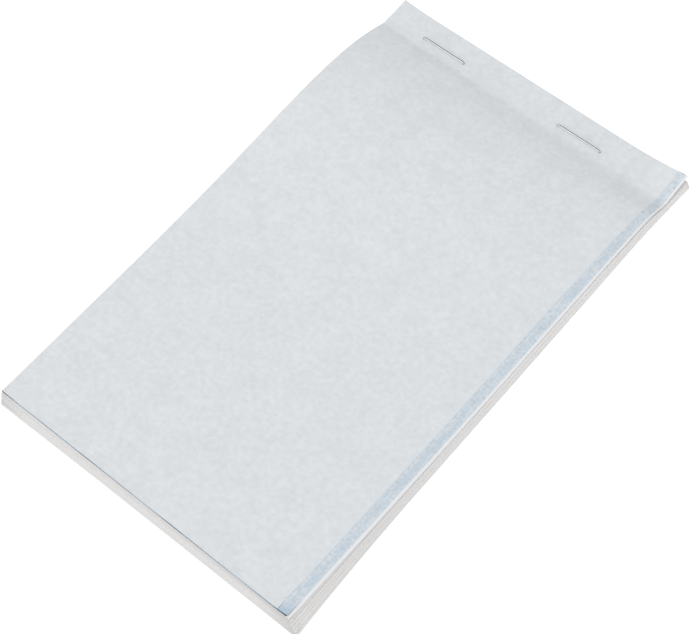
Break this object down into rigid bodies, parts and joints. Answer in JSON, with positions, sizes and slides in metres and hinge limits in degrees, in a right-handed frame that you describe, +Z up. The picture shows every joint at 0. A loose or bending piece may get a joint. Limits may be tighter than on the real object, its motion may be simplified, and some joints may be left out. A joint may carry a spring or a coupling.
{
  "type": "order pad",
  "caption": "Pocket order pad: a block of thin paper leaves and a carbon sheet, stapled along one edge to a backing card, whose leaves turn up at a fold line.",
  "frame": {"origin": "middle of the backing card's underside", "axes": "+X to the right along the stapled edge, +Y towards the stapled edge, +Z up out of the top leaf"},
  "size_m": [0.0963, 0.1617, 0.0094],
  "materials": {
    "paper": "uncoated white writing paper",
    "top_paper": "thin translucent paper with a cloudy formation",
    "carbon": "blue carbon tissue, coated side down",
    "board": "plain pale grey board",
    "wire": "galvanised stitching wire"
  },
  "bodies": {
    "pad_base": {"backing_card": "board", "staple_left": "wire", "staple_right": "wire", "stub_1": "paper", "stub_2": "paper", "stub_3": "paper", "stub_4": "paper", "stub_5": "paper", "duplicate_stub": "paper", "carbon_stub": "carbon", "top_leaf_stub": "top_paper"},
    "section_1": {"leaf_01": "paper", "leaf_02": "paper", "leaf_03": "paper", "leaf_04": "paper", "leaf_05": "paper", "leaf_06": "paper", "leaf_07": "paper", "leaf_08": "paper"},
    "section_2": {"leaf_09": "paper", "leaf_10": "paper", "leaf_11": "paper", "leaf_12": "paper", "leaf_13": "paper", "leaf_14": "paper", "leaf_15": "paper", "leaf_16": "paper"},
    "section_3": {"leaf_17": "paper", "leaf_18": "paper", "leaf_19": "paper", "leaf_20": "paper", "leaf_21": "paper", "leaf_22": "paper", "leaf_23": "paper", "leaf_24": "paper"},
    "section_4": {"leaf_25": "paper", "leaf_26": "paper", "leaf_27": "paper", "leaf_28": "paper", "leaf_29": "paper", "leaf_30": "paper", "leaf_31": "paper", "leaf_32": "paper"},
    "section_5": {"leaf_33": "paper", "leaf_34": "paper", "leaf_35": "paper", "leaf_36": "paper", "leaf_37": "paper", "leaf_38": "paper", "leaf_39": "paper", "leaf_40": "paper"},
    "duplicate": {"duplicate_leaf": "paper"},
    "carbon": {"carbon_sheet": "carbon"},
    "top": {"top_leaf": "top_paper"}
  },
  "joints": [
    {"name": "section_1_lift", "type": "hinge", "parent": "pad_base", "child": "section_1", "pos_m": [0, 0.0708, 0.00357], "axis": [-1, 0, 0], "range_deg": [0, 7]},
    {"name": "section_2_lift", "type": "hinge", "parent": "section_1", "child": "section_2", "pos_m": [0, 0.0708, 0.00357], "axis": [-1, 0, 0], "range_deg": [0, 7]},
    {"name": "section_3_lift", "type": "hinge", "parent": "section_2", "child": "section_3", "pos_m": [0, 0.0708, 0.00357], "axis": [-1, 0, 0], "range_deg": [0, 7]},
    {"name": "section_4_lift", "type": "hinge", "parent": "section_3", "child": "section_4", "pos_m": [0, 0.0708, 0.00357], "axis": [-1, 0, 0], "range_deg": [0, 7]},
    {"name": "section_5_lift", "type": "hinge", "parent": "section_4", "child": "section_5", "pos_m": [0, 0.0708, 0.00357], "axis": [-1, 0, 0], "range_deg": [0, 7]},
    {"name": "duplicate_leaf_turn", "type": "hinge", "parent": "section_5", "child": "duplicate", "pos_m": [0, 0.0708, 0.00357], "axis": [-1, 0, 0], "range_deg": [0, 15]},
    {"name": "carbon_sheet_turn", "type": "hinge", "parent": "duplicate", "child": "carbon", "pos_m": [0, 0.0708, 0.00357], "axis": [-1, 0, 0], "range_deg": [0, 24]},
    {"name": "top_leaf_turn", "type": "hinge", "parent": "carbon", "child": "top", "pos_m": [0, 0.0708, 0.00357], "axis": [-1, 0, 0], "range_deg": [0, 72]}
  ]
}
